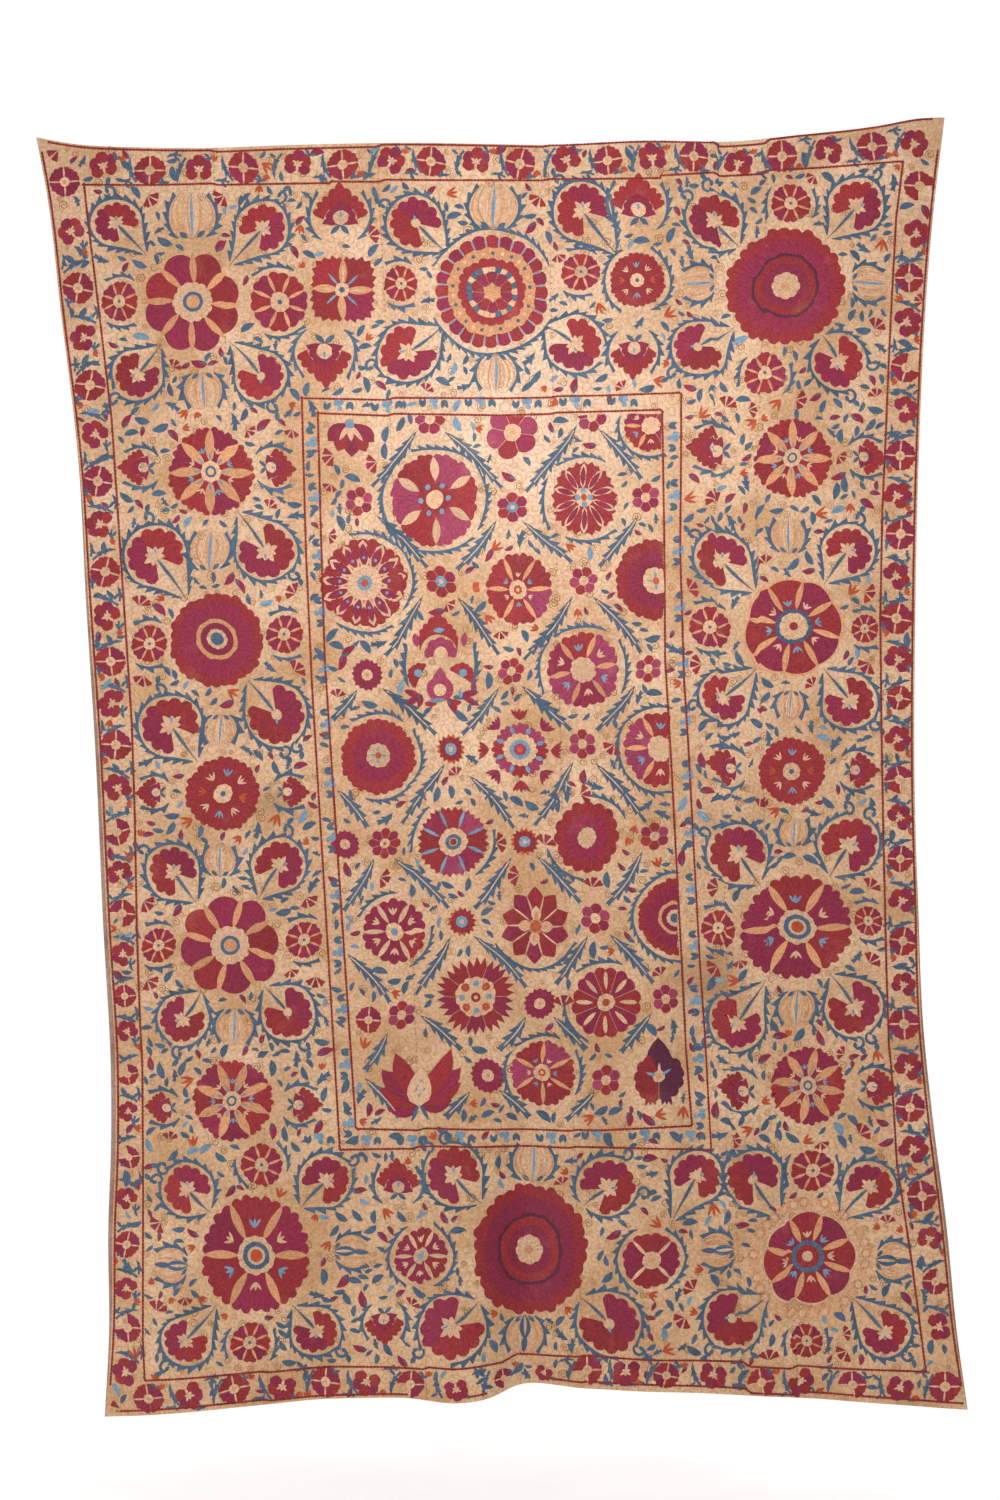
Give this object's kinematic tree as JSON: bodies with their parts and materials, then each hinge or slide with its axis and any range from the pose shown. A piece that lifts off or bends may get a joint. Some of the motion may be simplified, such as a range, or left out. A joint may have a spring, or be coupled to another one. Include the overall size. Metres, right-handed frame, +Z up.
{
  "type": "suzani embroidered textile",
  "caption": "Hanging embroidered suzani cover of joined loom-width cotton strips with silk rosettes, carnations and blue leaf scrolls inside flowered borders, on a plain cotton lining.",
  "frame": {"origin": "middle of the hanging's top edge, where it is held up, on the face of the embroidered cloth", "axes": "+Z up along the hanging's length, +X to the viewer's right across its width, -Y out of the embroidered face"},
  "size_m": [1.8595, 0.0596, 2.598],
  "materials": {
    "ground_cotton": "handwoven tan cotton with a fine plain weave, worn and stained",
    "lining_cotton": "plain mauve-grey cotton",
    "silk_crimson": "satiny couched silk floss",
    "silk_magenta": "satiny couched silk floss",
    "silk_blue": "satiny couched silk floss",
    "silk_pale": "satiny couched silk floss",
    "silk_orange": "satiny couched silk floss"
  },
  "bodies": {
    "root": {"embroidered_panel_1": "ground_cotton", "embroidered_panel_2": "ground_cotton", "embroidered_panel_3": "ground_cotton", "embroidered_panel_4": "ground_cotton", "embroidered_panel_5": "ground_cotton", "embroidered_panel_6": "ground_cotton", "lining": "lining_cotton"}
  },
  "joints": []
}
